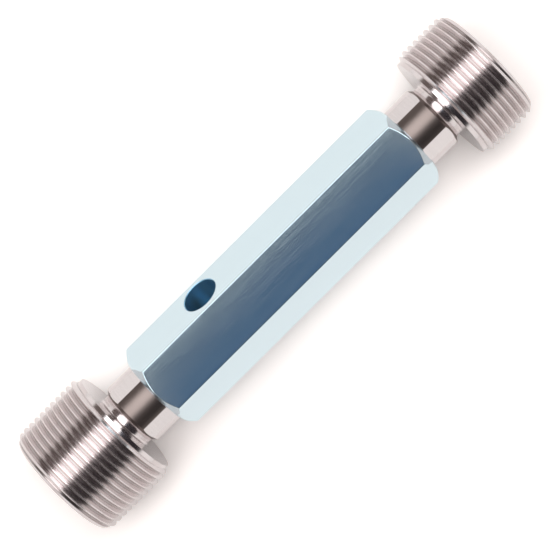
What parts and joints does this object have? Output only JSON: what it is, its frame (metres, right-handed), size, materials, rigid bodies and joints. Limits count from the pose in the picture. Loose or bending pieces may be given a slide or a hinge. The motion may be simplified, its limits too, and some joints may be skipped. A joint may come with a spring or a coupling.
{
  "type": "thread plug gauge",
  "caption": "Double-ended thread plug gauge: steel GO and NO GO threaded plugs with wrench flats, taper-locked into a hexagonal blue anodised handle with a drift hole.",
  "frame": {"origin": "centre of the GO head's outer end face, on which the gauge stands", "axes": "+Z along the gauge's axis from the GO head up to the NO GO head; -Y square to the handle's marking flat; the drift hole crosses the axis in the XY plane at 30 degrees from X"},
  "size_m": [0.0382, 0.0382, 0.1717],
  "materials": {
    "anodised_handle": "satin pale blue anodising",
    "ground_steel": "hardened steel, ground bright"
  },
  "bodies": {
    "root": {"handle": "anodised_handle", "go_member": "ground_steel", "no_go_member": "ground_steel"}
  },
  "joints": []
}
